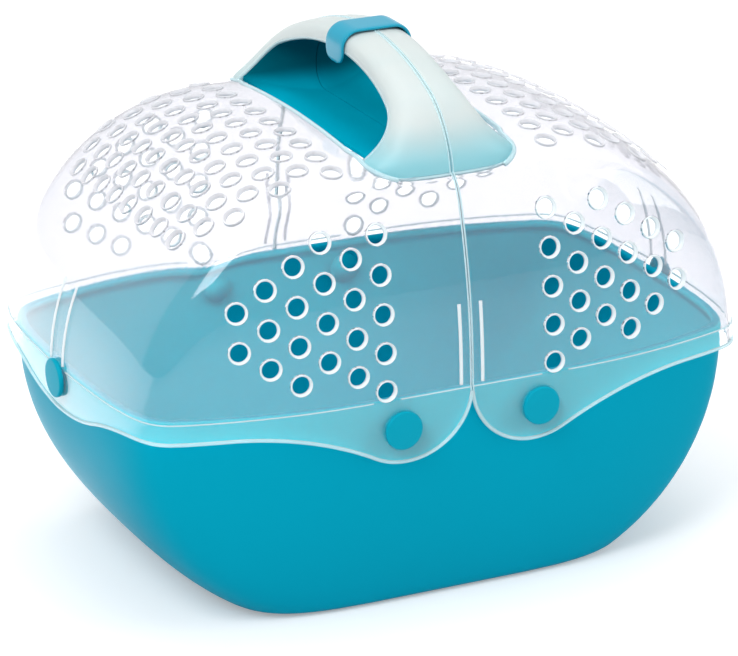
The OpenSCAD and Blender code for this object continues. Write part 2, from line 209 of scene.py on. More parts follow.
def lobed_edge(a, centre, r, drop, fillet_r):
    """Lower edge of the skirt: a lobe of radius r that hangs drop below the pins, a tangent concave arc of
    fillet_r, then level. The two arc centres lie sqrt((r + fillet_r)^2 - dz^2) apart, where dz is their
    difference in height."""
    lobe_z, fillet_z = PIVOT_Z - drop + r, SKIRT_Z - fillet_r
    apart = math.sqrt((r + fillet_r) ** 2 - (lobe_z - fillet_z) ** 2)
    lobe = lobe_z - np.sqrt(np.clip(r ** 2 - (a - centre) ** 2, 0, None))
    arc = fillet_z + np.sqrt(np.clip(fillet_r ** 2 - (a - centre - apart) ** 2, 0, None))
    return np.where(a < centre + apart * r / (r + fillet_r), lobe, np.where(a < centre + apart, arc, SKIRT_Z))


def side_edge_z(x):
    """Lower edge of the skirt along a long wall, with its lobe round the pin."""
    return lobed_edge(np.abs(x), 37.0, 37.0, 18.6, 165.0)


def end_edge_z(y):
    """Lower edge of the skirt across an end, with a shallow lobe under the button."""
    return lobed_edge(np.abs(y), 0.0, 150.0, 7.3, 150.0)


# The dome's profile from the crown to the split, as a table: rho and y against the distance along it
_k = np.linspace(0, 1, 4001)
_rho = DOME["r"] - (DOME["r"] - SPLIT_RHO) * _k ** 2.5
_y = half_width(_rho, DOME)
_arc = np.concatenate([[0], np.cumsum(np.hypot(np.diff(_rho), np.diff(_y)))])
ROOF_T = float(_arc[-1])


def roof_y(t):
    """Across the roof: distance t along the profile from the crown gives y."""
    return np.sign(t) * np.interp(np.abs(t), _arc, _y)


def roof_rho(t):
    return np.interp(np.abs(t), _arc, _rho)


def roof_t(y):
    """The inverse of roof_y."""
    return np.sign(y) * np.interp(np.abs(y), _y, _arc)


def outline_at(u, rho):
    """Position (x, z) at distance u along the dome's outline from the seam, moved in or out to rho."""
    turn = np.maximum(u - DOME["cx"], 0) / DOME["r"]
    return np.minimum(u, DOME["cx"]) + rho * np.sin(turn), DOME["cz"] + rho * np.cos(turn)


def roof_u(z, t):
    """The distance u at which the line t of the roof passes height z at the end."""
    return DOME["cx"] + DOME["r"] * (math.pi / 2 + np.arcsin((DOME["cz"] - z) / roof_rho(t)))


def roof_point(u, t, grow=0.0):
    """A point of the dome's roof, shoulder or end: u runs along the outline from the seam, t across the
    profile."""
    x, z = outline_at(u, roof_rho(t) * (DOME["r"] + grow) / DOME["r"])
    return np.stack([x, roof_y(t) * (DOME["w"] + grow) / DOME["w"], z], -1)


def wall_point(x, z, side, grow=0.0):
    """A point of the dome's front (-1) or back (1) wall above the plane position (x, z)."""
    return np.stack([x, side * half_width(rho_of(x, z, DOME), DOME, grow), z + 0 * x], -1)


def surface_normal(point_of, a, b):
    """Normal away from the dome's middle, from the cross product of two small steps over a surface."""
    step = 0.05
    normal = unit(np.cross(point_of(a + step, b) - point_of(a - step, b),
                           point_of(a, b + step) - point_of(a, b - step)))
    flip = np.sign(((point_of(a, b) - np.asarray(DOME_MIDDLE)) * normal).sum(-1, keepdims=True))
    return normal * flip


def cut_sheet(outline, holes, lines, spacing):
    """Flat triangles inside an outline with round holes: a hexagonal net of points plus the outlines and
    lines, joined by a constrained Delaunay triangulation, keeping the triangles whose middle lies inside."""
    hole_r = COLLAR_R
    turn = np.linspace(0, 2 * np.pi, RING_STEPS, endpoint=False)
    circle = np.stack([np.cos(turn), np.sin(turn)], -1)
    loops = [outline] + [h + hole_r * circle for h in holes]
    low, high = outline.min(0), outline.max(0)
    gx = np.arange(low[0], high[0] + spacing, spacing)
    gy = np.arange(low[1], high[1] + spacing, spacing * HEX_PITCH)
    px, py = np.meshgrid(gx, gy)
    px = px + (np.arange(len(gy)) % 2)[:, None] * spacing / 2
    net = np.stack([px.ravel(), py.ravel()], -1)
    for h in holes:
        net = net[np.hypot(*(net - h).T) > hole_r + spacing * 0.6]
    net = np.vstack([net] + [h + (hole_r + 1.0) * circle for h in holes])
    keep = inside(net, outline) & (gap_to(net, outline, np.roll(outline, -1, 0)) > spacing * 0.45)
    for line in lines:
        keep &= gap_to(net, line[:-1], line[1:]) > spacing * 0.3
    points, edges, first = [], [], 0
    for path, closed in [(loop, True) for loop in loops] + [(line, False) for line in lines]:
        index = first + np.arange(len(path))
        pairs = np.stack([index, np.roll(index, -1)], -1)
        edges.append(pairs if closed else pairs[:-1])
        points.append(path)
        first += len(path)
    flat = [Vector(p) for p in np.vstack(points + [net[keep]])]
    found, _, faces, _, _, _ = geometry.delaunay_2d_cdt(flat, np.vstack(edges).tolist(), [], 0, 1e-5, False)
    found = np.array([tuple(v) for v in found])
    faces = np.array([f for f in faces if len(f) == 3])
    middle = found[faces].mean(1)
    good = inside(middle, outline)
    for h in holes:
        good &= np.hypot(*(middle - h).T) > hole_r * 0.97
    return found, faces[good]


def inside(points, outline):
    """True for points inside a closed outline, by counting crossings of a ray."""
    a, b = outline, np.roll(outline, -1, 0)
    px, py = points[:, 0][:, None], points[:, 1][:, None]
    crosses = (a[:, 1] > py) != (b[:, 1] > py)
    slope = (b[:, 0] - a[:, 0]) / np.where(b[:, 1] == a[:, 1], 1e-12, b[:, 1] - a[:, 1])
    return (crosses & (px < a[:, 0] + slope * (py - a[:, 1]))).sum(1) % 2 == 1


def gap_to(points, starts, ends):
    """Distance from each point to the nearest of many straight pieces."""
    best = np.full(len(points), 1e9)
    for block in range(0, len(starts), 200):
        a, b = starts[block:block + 200], ends[block:block + 200]
        run = b - a
        k = ((points[:, None] - a) * run).sum(-1) / np.maximum((run ** 2).sum(-1), 1e-12)
        near = a + np.clip(k, 0, 1)[..., None] * run
        best = np.minimum(best, np.linalg.norm(points[:, None] - near, axis=-1).min(1))
    return best


# ---------- handle outlines ----------
def polar_run(centre, r, start, end, count):
    """Points of an arc in the YZ plane, angles from the upright, in degrees."""
    turn = np.radians(np.linspace(start, end, count))
    return np.stack([centre[0] + r * np.sin(turn), centre[1] + r * np.cos(turn)], -1)


def even_steps(path, count):
    """The same path with points at equal distances."""
    length = np.concatenate([[0], np.cumsum(np.linalg.norm(np.diff(path, axis=0), axis=1))])
    want = np.linspace(0, length[-1], count)
    return np.stack([np.interp(want, length, path[:, k]) for k in range(path.shape[1])], -1)


ARCH = np.vstack([polar_run((0, 120.5), 166, 0, 24.44, 200),
                  polar_run((48, 226.1), 50, 24.44, 81.9, 200)[1:]])
MOUTH = np.vstack([polar_run((0, 115.0), 162, 0, 23.8, 200), polar_run((56.5, 243.1), 22, 23.8, 90, 200)[1:],
                   [[78.5, 240.1]]])


def grip_width(z):
    """Half width of the handle at height z: 18.5 at the grip, then a flare of radius 45, at most 43 at the
    foot."""
    flare = 63.5 - np.sqrt(np.clip(2025 - np.clip(280.5 - z, 0, 44.5) ** 2, 1, None))
    return (flare ** -18 + 43.0 ** -18) ** (-1 / 18)


def handle_skin(steps=110, across=30):
    """Frosted wall of the right half: lines from the mouth's outline to the arch's outline; along each, the
    half width follows a superellipse, so the crown is flat with rounded edges."""
    outer, inner = even_steps(ARCH, steps), even_steps(MOUTH, steps)
    outer, inner = [np.vstack([path[::-1] * [-1, 1], path[1:]]) for path in (outer, inner)]
    low = 3 + np.linspace(-1, 1, len(outer)) ** 6
    near_seam = across // 2
    turning = 0.86  # share of the half width up to which the lines are spaced by width, then by level
    w = np.linspace(0.012, turning, near_seam, endpoint=False)
    level = np.linspace(1, 0, across - near_seam)
    points = []
    for k in range(across):
        if k < near_seam:
            q = (1 - w[k] ** 4) ** (1 / low)
        else:
            q = level[k - near_seam] * (1 - turning ** 4) ** (1 / low)
        yz = inner + (outer - inner) * q[:, None]
        x = grip_width(yz[:, 1]) * np.clip(1 - q ** low, 0, 1) ** 0.25
        x = x * (1 - 0.14 * np.clip((np.abs(yz[:, 0]) - 78) / 20, 0, 1) ** 2)
        points.append(np.stack([np.maximum(x, SEAM_X), yz[:, 0], yz[:, 1]], -1))
    return np.stack(points, 1)


def foot_outline():
    """Where the handle's foot meets the roof, for the cut in the roof: (u, t) from front to back."""
    y = np.concatenate([np.linspace(-97.0, -80, 16), np.linspace(-76, 76, 30), np.linspace(80, 97.0, 16)])
    corner = 25 + np.sqrt(np.clip(324 - np.clip(np.abs(y) - 80, 0, 18) ** 2, 0, None))
    x = np.where(np.abs(y) < 68, 44.6, np.minimum(corner, 43)) - 0.6
    return np.stack([x, roof_t(y)], -1)


def tunnel_outline(half_l, corner_r, floor_z, foot_r):
    """Half of the tunnel's outline in the YZ plane, from the middle of its top down to the middle of its
    floor: the long top arc, a corner arc, a straight side, a small foot arc and a straight floor."""
    inset, top_r, top_z = 0.6, 162, 115.0
    corner_y = half_l - corner_r
    corner_z = top_z + math.sqrt((top_r - corner_r) ** 2 - corner_y ** 2)
    lean = math.degrees(math.atan2(corner_y, corner_z - top_z))
    side_y = half_l - inset
    upper = np.vstack([polar_run((0, top_z), top_r - inset, 0, lean, 60),
                       polar_run((corner_y, corner_z), corner_r - inset, lean, 90, 60)[1:],
                       [[side_y, floor_z + foot_r]]])
    foot = polar_run((side_y - foot_r, floor_z + foot_r), foot_r, 90, 180, 12)
    floor = np.vstack([foot[-1:], [[0, floor_z]]])
    return np.vstack([even_steps(upper, 60), foot[1:], even_steps(floor, 30)[1:]])


def tunnel_skin(steps=26):
    """Inner face of the right half of the hand tunnel: at the seam a rounded slot, at the mouth the handle's
    mouth outline; between them it widens like a horn, with a power of the distance from the seam."""
    halves = tunnel_outline(66.0, 20.0, 236.5, 11.0), tunnel_outline(78.5, 22.0, 242.3, 1.5)
    seam, mouth = [np.vstack([path, path[::-1][1:-1] * [-1, 1]]) for path in halves]
    edge_x = grip_width(mouth[:, 1]) - 0.5
    k = np.linspace(0, 1, steps)[:, None]
    x = SEAM_X + (edge_x - SEAM_X) * k
    widen = (x / 43.0) ** 1.7 * (43.0 / edge_x) ** 1.7
    yz = seam[None] + (mouth - seam)[None] * widen[..., None]
    return np.concatenate([x[..., None], yz], -1)


# ---------- materials ----------
THROUGH = (0.93, 0.93, 0.94)  # tint of the light that passes a clear wall
# painted light: the weaker tone that teal faces which look up take when seen through a clear wall
LEVEL_TEAL_PAINTED_LIGHT = (0.0, 0.50, 0.66)  # tone of level teal faces seen through a clear wall


def feed(tree, node, sockets):
    """Gives each named or numbered socket a value, or a link where an output is given."""
    for socket, value in sockets.items():
        if isinstance(value, bpy.types.NodeSocket):
            tree.links.new(value, node.inputs[socket])
        else:
            node.inputs[socket].default_value = value


def add(tree, kind, sockets=(), **settings):
    """A new node with its own settings, whose sockets are then fed."""
    node = tree.nodes.new("ShaderNode" + kind)
    for name, value in settings.items():
        setattr(node, name, value)
    feed(tree, node, dict(sockets))
    return node


def coordinate(tree, kind="Object"):
    return add(tree, "TexCoord").outputs[kind]


def along_axis(tree, vector, axis):
    return add(tree, "SeparateXYZ", {"Vector": vector}).outputs[axis]


def dot(tree, vector, direction):
    return add(tree, "VectorMath", {0: vector, 1: direction}, operation="DOT_PRODUCT").outputs["Value"]


def calc(tree, operation, *values, clamp=False):
    return add(tree, "Math", dict(enumerate(values)), operation=operation, use_clamp=clamp).outputs[0]


def ramp(tree, value, low, high, start=0.0, end=1.0, kind="SMOOTHSTEP"):
    """From start to end while value goes from low to high."""
    return add(tree, "MapRange", {"Value": value, "From Min": low, "From Max": high, "To Min": start,
                                  "To Max": end}, interpolation_type=kind).outputs["Result"]


def mixed(tree, factor, a, b, **settings):
    """Colour from a to b, each an output or (r, g, b)."""
    a, b = [(*c, 1) if isinstance(c, (tuple, list)) else c for c in (a, b)]
    sockets = {"Factor": factor, "A": a, "B": b}
    return add(tree, "Mix", sockets, data_type="RGBA", **settings).outputs["Result"]


def moulded_skin_group():
    """Fine grain and slow waviness of a moulded wall: roughness that drifts, and a bump normal."""
    group = bpy.data.node_groups.new("moulded_skin", "ShaderNodeTree")
    for label, value in (("Roughness", 0.3), ("Drift", 0.05), ("Grain Scale", 900.0), ("Grain Depth", 0.1)):
        socket = group.interface.new_socket(name=label, in_out="INPUT", socket_type="NodeSocketFloat")
        socket.default_value = value
    for label, kind in (("Roughness", "NodeSocketFloat"), ("Normal", "NodeSocketVector")):
        group.interface.new_socket(name=label, in_out="OUTPUT", socket_type=kind)
    given = group.nodes.new("NodeGroupInput").outputs
    out = group.nodes.new("NodeGroupOutput")
    place = coordinate(group)
    slow = add(group, "TexNoise", {"Vector": place, "Scale": 14, "Detail": 3})
    grain = add(group, "TexNoise", {"Vector": place, "Scale": given["Grain Scale"], "Detail": 2})
    bump = add(group, "Bump", {"Distance": 0.0002, "Strength": given["Grain Depth"],
                               "Height": grain.outputs["Fac"]})
    feed(group, out, {
        "Roughness": calc(group, "MULTIPLY_ADD", slow.outputs["Fac"], given["Drift"], given["Roughness"]),
        "Normal": bump.outputs["Normal"]})
    return group


SKIN = moulded_skin_group()


def plastic(name, roughness, drift, grain_scale, grain_depth):
    """A material with a Principled BSDF whose roughness and normal come from the moulded skin."""
    material = bpy.data.materials.new(name)
    material.use_nodes = True
    tree = material.node_tree
    shader = tree.nodes["Principled BSDF"]
    skin = add(tree, "Group", {"Roughness": roughness, "Drift": drift, "Grain Scale": grain_scale,
                               "Grain Depth": grain_depth}, node_tree=SKIN)
    feed(tree, shader, {"Roughness": skin.outputs["Roughness"], "Normal": skin.outputs["Normal"]})
    return material, tree, shader


def drifting_colour(tree, shader, dark, light):
    """Base colour that drifts slowly between two close tones."""
    noise = add(tree, "TexNoise", {"Vector": coordinate(tree), "Scale": 6.0})
    own = mixed(tree, noise.outputs["Fac"], dark, light)
    feed(tree, shader, {"Base Color": own})
    return own


def teal_plastic(name, dark, light, roughness, specular, painted_light_behind_clear=None):
    """Moulded teal. The last argument is painted light: a brighter tone used only where the teal is seen
    through a clear wall, standing in for the light that wall spreads onto it; faces that look up take a
    weaker painted tone there."""
    material, tree, shader = plastic(name, roughness, 0.08, 1400.0, 0.12)
    own = drifting_colour(tree, shader, dark, light)
    feed(tree, shader, {"Specular IOR Level": specular})
    if painted_light_behind_clear:
        # painted light: seen through a clear wall the teal takes a brighter tone, with less of it on faces
        # that look up
        upward = ramp(tree, along_axis(tree, coordinate(tree, "Normal"), "Z"), 0.35, 0.95, kind="LINEAR")
        level = mixed(tree, upward, painted_light_behind_clear, LEVEL_TEAL_PAINTED_LIGHT)
        seen_through = add(tree, "LightPath").outputs["Is Transmission Ray"]
        feed(tree, shader, {"Base Color": mixed(tree, seen_through, own, level)})
    return material


def let_light_through(tree, shader, tint):
    """Shadow rays pass straight through with a tint, so what lies behind stays lit."""
    clear = add(tree, "BsdfTransparent", {"Color": (*tint, 1)})
    mix = add(tree, "MixShader", {"Fac": add(tree, "LightPath").outputs["Is Shadow Ray"],
                                  1: shader.outputs["BSDF"], 2: clear.outputs["BSDF"]})
    feed(tree, tree.nodes["Material Output"], {"Surface": mix.outputs["Shader"]})


def pale(tree, shader, tint):
    """A light base colour that drifts very little."""
    drifting_colour(tree, shader, [c * 0.985 for c in tint], tint)


def clear_plastic(name, transmission, roughness, tint, ior=1.35):
    """Clear or frosted plastic that bends what lies behind it."""
    material, tree, shader = plastic(name, roughness, 0.02, 260.0, 0.03)
    pale(tree, shader, tint)
    feed(tree, shader, {"IOR": ior, "Transmission Weight": transmission})
    let_light_through(tree, shader, THROUGH)
    return material


def edge_highlight_plastic(name, highlight_cover, tint):
    """A thin moulded edge of clear plastic with a painted highlight: a pale cover paints the light the edge
    catches, the rest is seen straight through."""
    material, tree, shader = plastic(name, 0.22, 0.02, 400.0, 0.02)
    pale(tree, shader, tint)
    feed(tree, shader, {"Alpha": highlight_cover})
    let_light_through(tree, shader, THROUGH)
    return material


def frosted_plastic(name):
    """Frosted shell: greenish white at the grip, with the coloured liner showing through low on the feet,
    most of all on the front."""
    material, tree, shader = plastic(name, 0.34, 0.08, 700.0, 0.1)
    place = coordinate(tree)
    low = ramp(tree, along_axis(tree, place, "Z"), 0.262, 0.236)
    cloud = add(tree, "TexNoise", {"Vector": place, "Scale": 28, "Detail": 2}).outputs["Fac"]
    blend = calc(tree, "ADD", low, calc(tree, "MULTIPLY_ADD", cloud, 0.35, -0.17), clamp=True)
    near_front = ramp(tree, along_axis(tree, place, "Y"), 0.05, -0.03, start=0.3)
    shows = calc(tree, "MULTIPLY", blend, near_front)
    feed(tree, shader, {"Base Color": mixed(tree, shows, (0.74, 0.80, 0.79), (0.30, 0.66, 0.73)), "IOR": 1.4,
                        "Transmission Weight": 0.3})
    let_light_through(tree, shader, (0.6, 0.62, 0.62))
    return material


def shade_along(material, direction, low, high, shade):
    """Multiplies the base colour towards shade between two distances along a direction, as deep inside the
    tunnel."""
    tree = material.node_tree
    colour = tree.nodes["Principled BSDF"].inputs["Base Color"]
    own = colour.links[0].from_socket
    depth = ramp(tree, dot(tree, coordinate(tree), direction), low, high)
    tree.links.new(mixed(tree, depth, own, (shade, shade, shade), blend_type="MULTIPLY"), colour)


# the tub's last tone is painted light, used where the tub is seen through the clear dome
TEAL = teal_plastic("teal_tub_plastic", (0.0, 0.32, 0.46), (0.0, 0.345, 0.50), 0.3, 0.015, (0.0, 0.84, 0.98))
TEAL_LINER = teal_plastic("teal_liner_plastic", (0.0, 0.34, 0.49), (0.0, 0.37, 0.53), 0.5, 0.0)
TEAL_LATCH = teal_plastic("teal_latch_plastic", (0.0, 0.300, 0.450), (0.0, 0.340, 0.500), 0.26, 0.42)
TEAL_PINS = teal_plastic("teal_pin_plastic", (0.0, 0.33, 0.46), (0.0, 0.35, 0.49), 0.38, 0.06)
CLEAR = clear_plastic("clear_dome_plastic", 0.93, 0.03, (0.80, 0.795, 0.82), ior=1.45)
# painted highlights: pale covers on the clear collars, ribs and seam beads stand in for the light their edges
# catch
CLEAR_EDGE_HIGHLIGHT = edge_highlight_plastic("clear_edge_painted_highlight", 0.7, (0.88, 0.95, 0.97))
CLEAR_ROOF_RING_HIGHLIGHT = edge_highlight_plastic("clear_roof_ring_painted_highlight", 0.6, (0.86, 0.86, 0.89))
# partly painted highlight: the beads are real edges, but their pale tint paints the bright line these edges
# catch
EDGE_HIGHLIGHT_GLASS = clear_plastic("edge_highlight_glass", 0.5, 0.2, (0.68, 0.88, 0.92))
FROSTED = frosted_plastic("frosted_handle_plastic")
shade_along(TEAL_LINER, (0, 0.25, 1), 0.250, 0.266, 0.25)


# ---------- tub ----------
def tub_ring(z, inset, run=10, curve=34):
    """Closed outline of the tub at height z, grown inward: the straight middle, then rho from |z - cz| out to
    r."""
    r, dz = TUB["r"] - inset, z - TUB["cz"]
    k = np.linspace(0, 1, curve)
    rho = abs(dz) + (r - abs(dz)) * (1 - (1 - k) ** 3)
    x = TUB["cx"] + np.sqrt(np.clip(rho ** 2 - dz ** 2, 0, None))
    y = half_width(rho, TUB, -inset)
    x = np.concatenate([np.linspace(0, TUB["cx"], run, endpoint=False), x])
    y = np.concatenate([np.full(run, y[0]), y])
    quarter = np.stack([x, y], -1)
    half = np.vstack([quarter, quarter[::-1][1:] * [1, -1]])
    ring = np.vstack([half, half[::-1][1:-1] * [-1, 1]])
    return np.hstack([ring, np.full((len(ring), 1), z)])


def make_tub():
    """The tub as one closed skin: base, rounded foot, outer wall, rounded rim, bead, inner wall, floor; and
    the four bosses of its pins."""
    foot, soft, hollow = 5.0, 1.0, 8.0
    bead = TUB_WALL + RIM_BEAD
    path = [(0.0, k) for k in (70, 50, 30, 15)]
    path += [(foot - foot * math.cos(a), foot - foot * math.sin(a))
             for a in np.radians(np.linspace(0, 90, 9))]
    path += [(z, 0.0) for z in [*np.linspace(foot, RIM_Z - 4, 40)[1:], RIM_Z - 2, RIM_Z - soft]]
    path += [(RIM_Z - soft + soft * math.sin(a), soft - soft * math.cos(a))
             for a in np.radians([20, 45, 70, 90])]
    path += [(RIM_Z, bead - soft), (RIM_Z - 0.3, bead - 0.3), (RIM_Z - soft, bead),
             (RIM_Z - RIM_BEAD_H + 0.6, bead), (RIM_Z - RIM_BEAD_H, bead - 0.6),
             (RIM_Z - RIM_BEAD_H - 0.2, TUB_WALL)]
    path += [(z, TUB_WALL) for z in np.linspace(RIM_Z - 8, FLOOR + hollow, 30)]
    path += [(FLOOR + hollow - hollow * math.sin(a), TUB_WALL + hollow - hollow * math.cos(a))
             for a in np.radians(np.linspace(15, 90, 7))]
    path += [(FLOOR, k) for k in (20, 35, 55, 72)]
    rings = [tub_ring(z, inset) for z, inset in path]
    faces = loop_faces(len(rings), len(rings[0]))
    tub = close_and_face_out(make_piece("tub_shell", np.vstack(rings), faces, TEAL, "tub"))
    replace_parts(tub, "tub")
    boss_r, boss_depth = 8.0, 7
    boss_profile = [(0, 0), (boss_r - 0.6, 0), (boss_r, -0.6), (boss_r, -boss_depth), (0, -boss_depth)]
    face_y = float(half_width(DOME["cz"] - PIVOT_Z + boss_r, DOME, -DOME_WALL)) - 0.3
    for x, left_right in ((-1, "left"), (1, "right")):
        for y, front_back in ((-1, "front"), (1, "back")):
            points, faces = button_points((x * PIVOT_X, y * face_y, PIVOT_Z), (0, y, 0), boss_profile, 48)
            close_and_face_out(make_piece(f"{front_back}_{left_right}_pin_boss", points, faces, TEAL, "tub"))


# ---------- dome halves ----------
WALL_ROWS = [[0, 2, 4, 6, 8], [1, 3, 5, 7], [2, 4, 6, 8], [1, 3, 5, 7], [2, 4, 6], [3, 5]]
FIRST_X, PITCH_X = 48.7, 15.6
FIRST_Z, PITCH_Z = PIVOT_Z + 22.1, 10.15
WALL_HOLES = np.array([(FIRST_X + c * PITCH_X, FIRST_Z + row * PITCH_Z)
                       for c, rows in enumerate(WALL_ROWS) for row in rows])
ROOF_COLUMNS = [62.0, 77.6, 93.2, 108.0, 122.7, 137.4, 152.0]
ROOF_PITCH = 9.35
ROOF_REACH = [86] * 5 + [78] * 2  # how far from the middle the holes of each column go
ROOF_HOLES = np.array([(u, k * ROOF_PITCH)
                       for c, (u, reach) in enumerate(zip(ROOF_COLUMNS, ROOF_REACH)) for k in range(-9, 10)
                       if (k % 2 != 0) == (c % 2 == 0) and abs(k * ROOF_PITCH) < reach])


def half_of(side):
    """Word and body of the left (-1) or right (1) half."""
    return ("left", "left_half") if side < 0 else ("right", "right_half")


def wall_outline(split_u):
    """Outline of the right half's wall in the XZ plane: the split, the skirt's edge and the seam."""
    split = np.stack(outline_at(split_u, SPLIT_RHO), -1)
    lower_x = np.concatenate([np.linspace(split[-1, 0], 136.5, 8)[1:], np.linspace(134.5, SEAM_X, 72)])
    lower = np.stack([lower_x, side_edge_z(lower_x)], -1)
    seam_z = np.linspace(lower[-1, 1], DOME["cz"] + SPLIT_RHO, 28)[1:-1]
    return np.vstack([split, lower, np.stack([np.full(26, SEAM_X), seam_z], -1)])


def wall_folds():
    """The fold's lines in the XZ plane, on both sides of the lowest air hole."""
    lines, near = [], WALL_HOLES[0, 0]
    for dz in (FOLD_HALF, 0, -FOLD_HALF):
        z = FOLD_Z + dz
        reach = DOME["cx"] + math.sqrt(SPLIT_RHO ** 2 - (z - DOME["cz"]) ** 2)
        for start, end, count in ((1.0, near - COLLAR_R - 1.2, 14), (near + COLLAR_R + 1.2, reach - 1.0, 34)):
            lines.append(np.stack([np.linspace(start, end, count), np.full(count, z)], -1))
    return lines


def roof_outline(split_u):
    """Outline of the right half's roof in (u, t): the seam round the handle's foot, the split and the end."""
    foot = foot_outline()
    t_end = np.linspace(ROOF_T, -ROOF_T, 110)
    end = np.stack([roof_u(end_edge_z(roof_y(t_end)), t_end), t_end], -1)
    at_seam = lambda t: np.stack([np.full(len(t), SEAM_X), t], -1)
    across = lambda corner: np.stack([np.linspace(SEAM_X, corner[0], 8)[1:-1], np.full(6, corner[1])], -1)
    split = lambda t: np.stack([split_u, np.full(len(split_u), t)], -1)
    return np.vstack([at_seam(np.linspace(-ROOF_T, foot[0, 1], 9)[1:]), across(foot[0]), foot,
                      across(foot[-1])[::-1], at_seam(np.linspace(foot[-1, 1], ROOF_T, 9)[:-1]),
                      split(ROOF_T), end[1:-1], split(-ROOF_T)[::-1]])


def make_dome_mesh():
    """Points and triangles of the right dome half's outer skin, cut for its holes and the handle's foot."""
    turn_end = math.pi / 2 + math.asin((DOME["cz"] - SKIRT_Z) / SPLIT_RHO)
    split_u = np.concatenate([np.linspace(SEAM_X, DOME["cx"], 15),
                              DOME["cx"] + DOME["r"] * np.linspace(0, turn_end, 48)[1:]])
    flat, wall_triangles = cut_sheet(wall_outline(split_u), WALL_HOLES, wall_folds(), 5.0)
    x, z = flat.T
    front, back = [wall_point(x, z, side, skirt_growth(z)) for side in (-1, 1)]
    t = np.linspace(-ROOF_T + 1.0, ROOF_T - 1.0, 90)
    folds = [np.stack([roof_u(FOLD_Z + dz, t), t], -1) for dz in (FOLD_HALF, 0, -FOLD_HALF)]
    flat, roof_triangles = cut_sheet(roof_outline(split_u), ROOF_HOLES, folds, 3.6)
    u, t = flat.T
    roof = roof_point(u, t, skirt_growth(roof_point(u, t)[:, 2]))
    edge = np.abs(np.abs(t) - ROOF_T) < 1e-3
    x, z = outline_at(u[edge], SPLIT_RHO)
    roof[edge] = wall_point(x, z, np.sign(t[edge]), skirt_growth(z))
    n = len(front)
    return (np.vstack([front, back, roof]),
            np.vstack([wall_triangles, wall_triangles[:, ::-1] + n, roof_triangles + 2 * n]))


def skirt_border():
    """The half's outer border: down the front seam, round the skirt's lower edge and up the back seam."""
    x = np.concatenate([np.linspace(SEAM_X, 12, 14), np.linspace(13, 134.5, 80), np.linspace(136.5, 158, 10)])
    t = np.linspace(-ROOF_T, ROOF_T, 121)[1:-1]
    front, back = [wall_point(x, side_edge_z(x), side, SKIRT_STEP) for side in (-1, 1)]
    return np.vstack([front, roof_point(roof_u(end_edge_z(roof_y(t)), t), t, SKIRT_STEP), back[::-1]])


def fold_paths():
    """Two runs of the fold line on each side of a half, apart where the lowest air hole and the button
    sit."""
    runs, grow = [], 0.2
    for side in (-1, 1):
        for start, end in ((1.0, 41.0), (56.5, 158.0)):
            runs.append(wall_point(np.linspace(start, end, 40), FOLD_Z, side, grow))
        t = side * np.linspace(ROOF_T, float(roof_t(11.5)), 50)[1:]
        runs[-1] = np.vstack([runs[-1], roof_point(roof_u(FOLD_Z, t), t, grow)])
    return runs


def seam_path(side):
    """The dome's edge at the seam on the front (-1) or back (1): from the skirt up to the handle's foot."""
    z = np.linspace(float(side_edge_z(SEAM_X)), DOME["cz"] + SPLIT_RHO, 200)
    t = np.linspace(ROOF_T, float(roof_t(97.0)), 40)[1:]
    return np.vstack([wall_point(np.full(200, SEAM_X), z, side, skirt_growth(z)),
                      roof_point(np.full(39, SEAM_X), side * t)])


def make_bar(side, name, path, radius, look=EDGE_HIGHLIGHT_GLASS, **shape):
    """A closed bar of one half along a path, which is given for the right half."""
    word, body = half_of(side)
    points, faces = tube_along(mirrored(path, side), radius, **shape)
    close_and_face_out(make_piece(f"{word}_{name}", points, faces, look, body))


COLLAR = [(HOLE_R, -2.25), (HOLE_R, -1.0), (4.85, -0.65), (5.4, 0.25), (5.62, 0.42), (5.82, 0.36),
          (5.97, 0.1), (5.97, -2.25)]


